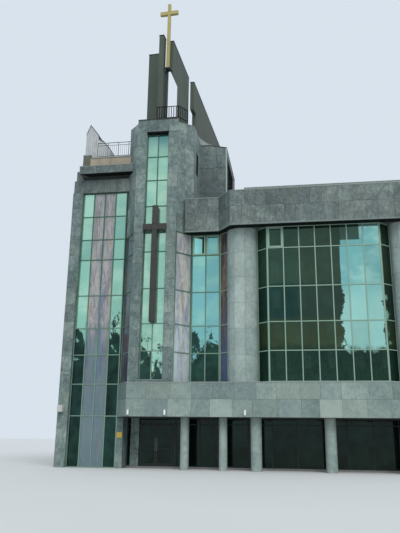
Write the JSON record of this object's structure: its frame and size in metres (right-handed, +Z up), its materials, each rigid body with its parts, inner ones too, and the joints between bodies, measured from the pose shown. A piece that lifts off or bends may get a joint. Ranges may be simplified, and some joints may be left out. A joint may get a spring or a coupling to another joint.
{
  "type": "modern church building",
  "caption": "Modern church building with glazed wings, a tall front tower, a belfry of upright blades, a gilt cross and a recessed glazed ground floor with hinged entrance doors.",
  "frame": {"origin": "middle of the building's bounding box at ground level", "axes": "+Z up; the street front faces -Y; the building's long side runs along X"},
  "size_m": [20.25, 19.6, 30.3],
  "materials": {
    "stone": "grey-green stone slabs, satin",
    "pale_stone": "paler stone slabs, satin",
    "concrete": "olive-grey concrete, matte",
    "plaster": "sand-coloured plaster, matte",
    "mint_glass": "mint tinted, glossy",
    "dark_glass": "dark green tinted, glossy",
    "coloured_glass": "painted, semi-glossy",
    "frame_metal": "green painted, satin",
    "dark_metal": "dark painted, satin",
    "ribbed_metal": "pale painted sheet, satin",
    "brown_cladding": "dark brown, satin",
    "gilt": "gilt, satin"
  },
  "bodies": {
    "building": {"belfry_beam": "dark_metal", "belfry_bracket_blade": "concrete", "belfry_front_blade": "concrete", "belfry_left_blade": "concrete", "belfry_rear_blade": "concrete", "entrance_frame": "dark_metal", "entrance_pillar": "stone", "first_floor": "concrete", "gold_cross": "gilt", "ground_column_1": "pale_stone", "ground_column_2": "pale_stone", "ground_column_3": "pale_stone", "ground_column_4": "pale_stone", "ground_column_5": "pale_stone", "ground_glazing_right": "dark_metal", "ground_slab": "stone", "left_frieze": "stone", "left_parapet": "plaster", "left_party_wall": "stone", "left_roof_peak": "ribbed_metal", "left_roof_railing": "dark_metal", "left_roof_slab": "concrete", "left_wing_glazing": "mint_glass", "middle_open_sash": "frame_metal", "middle_window": "frame_metal", "mirrored_pier": "pale_stone", "pier_art_panel": "coloured_glass", "rear_glass": "dark_glass", "rear_wall": "stone", "right_roof_slab": "concrete", "right_side_glass": "dark_glass", "right_side_wall": "stone", "right_wing_glazing": "dark_glass", "rounded_pier": "pale_stone", "spandrel_band": "pale_stone", "spine_left_wall": "stone", "spine_right_wall": "stone", "spine_roof_slab": "concrete", "stair_tower": "stone", "tower_front_shell": "stone", "tower_left_art_panel": "coloured_glass", "tower_railing": "dark_metal", "tower_right_art_panel": "coloured_glass", "tower_wall_cross": "brown_cladding", "tower_window": "mint_glass", "upper_frieze": "stone"},
    "left_door": {"left_door_leaf": "dark_metal"},
    "right_door": {"right_door_leaf": "dark_metal"}
  },
  "joints": [
    {"name": "left_door_hinge", "type": "hinge", "parent": "building", "child": "left_door", "pos_m": [-5.611, -7.145, 0.1], "axis": [0, 0, -1], "range_deg": [0, 90]},
    {"name": "right_door_hinge", "type": "hinge", "parent": "building", "child": "right_door", "pos_m": [-3.739, -7.145, 0.1], "axis": [0, 0, 1], "range_deg": [0, 90]}
  ]
}
